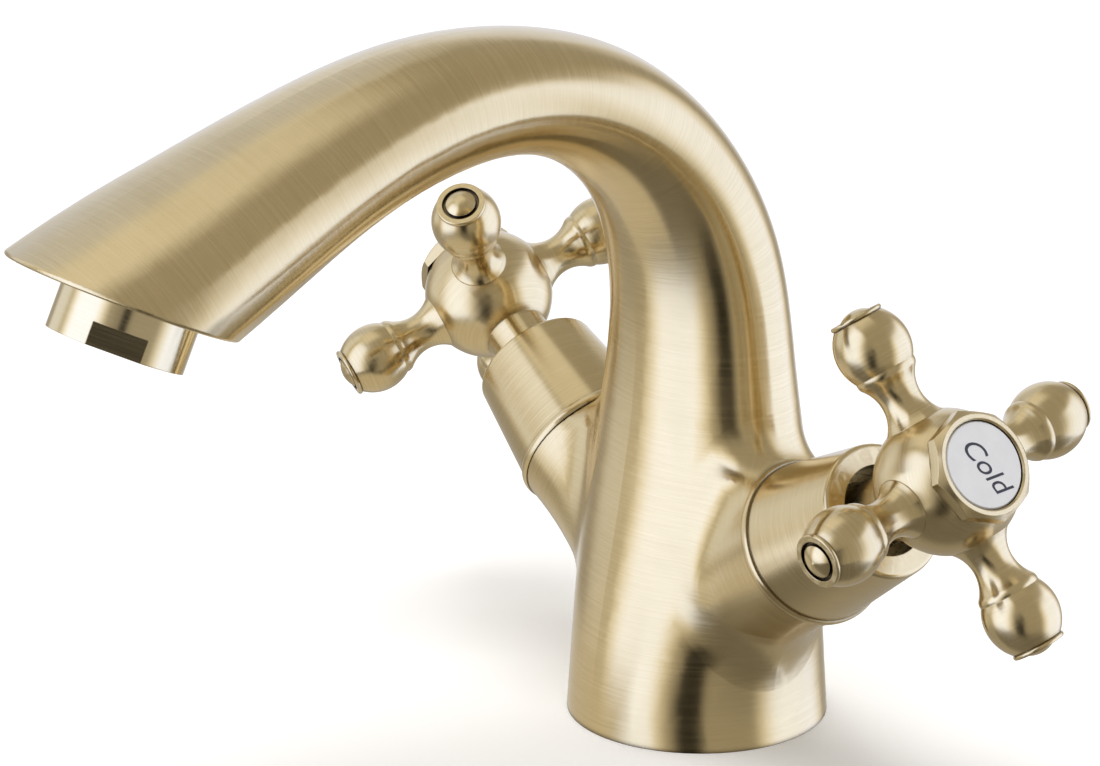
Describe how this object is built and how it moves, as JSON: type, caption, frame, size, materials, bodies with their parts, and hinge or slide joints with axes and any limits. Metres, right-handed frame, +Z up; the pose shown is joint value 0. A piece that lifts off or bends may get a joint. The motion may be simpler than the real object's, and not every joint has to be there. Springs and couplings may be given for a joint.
{
  "type": "basin mixer faucet",
  "caption": "One-hole basin mixer with a swan spout cut off at a slant, inclined conical valve covers and cross handles on quarter-turn ceramic valves.",
  "frame": {"origin": "centre of the round foot, on the deck's surface", "axes": "+Z up out of the deck, -Y along the spout, +X towards the cold handle"},
  "size_m": [0.1838, 0.1742, 0.1396],
  "materials": {
    "antique_brass": "brushed antique",
    "polished_brass": "polished",
    "machined_brass": "machined",
    "steel": "satin",
    "rubber": "matt",
    "fibre": "matt",
    "white_plastic": "satin",
    "alumina": "lapped",
    "porcelain": "glazed"
  },
  "bodies": {
    "mixer_body": {"body_casting": "antique_brass", "base_gasket": "rubber", "aerator_housing": "polished_brass", "aerator_insert": "white_plastic", "aerator_screen": "steel", "aerator_washer": "rubber", "cold_valve_sleeve": "antique_brass", "cold_headwork_body": "machined_brass", "cold_headwork_washer": "fibre", "cold_seat_seal": "rubber", "cold_fixed_ceramic_disc": "alumina", "hot_valve_sleeve": "antique_brass", "hot_headwork_body": "machined_brass", "hot_headwork_washer": "fibre", "hot_seat_seal": "rubber", "hot_fixed_ceramic_disc": "alumina"},
    "cold_handle": {"cold_moving_ceramic_disc": "alumina", "cold_spindle": "machined_brass", "cold_spindle_o_rings": "rubber", "cold_spindle_clip": "steel", "cold_handle_hub": "antique_brass", "cold_handle_arm_1": "antique_brass", "cold_handle_arm_2": "antique_brass", "cold_handle_arm_3": "antique_brass", "cold_handle_arm_4": "antique_brass", "cold_handle_screw": "steel", "cold_index_bezel": "antique_brass", "cold_index_disc": "porcelain"},
    "hot_handle": {"hot_moving_ceramic_disc": "alumina", "hot_spindle": "machined_brass", "hot_spindle_o_rings": "rubber", "hot_spindle_clip": "steel", "hot_handle_hub": "antique_brass", "hot_handle_arm_1": "antique_brass", "hot_handle_arm_2": "antique_brass", "hot_handle_arm_3": "antique_brass", "hot_handle_arm_4": "antique_brass", "hot_handle_screw": "steel", "hot_index_bezel": "antique_brass", "hot_index_disc": "porcelain"}
  },
  "joints": [
    {"name": "cold_turn", "type": "hinge", "parent": "mixer_body", "child": "cold_handle", "pos_m": [0.072, 0, 0.06566], "axis": [0.8572, 0, 0.515], "range_deg": [-90, 0]},
    {"name": "hot_turn", "type": "hinge", "parent": "mixer_body", "child": "hot_handle", "pos_m": [-0.072, 0, 0.06566], "axis": [-0.8572, 0, 0.515], "range_deg": [0, 90]}
  ]
}
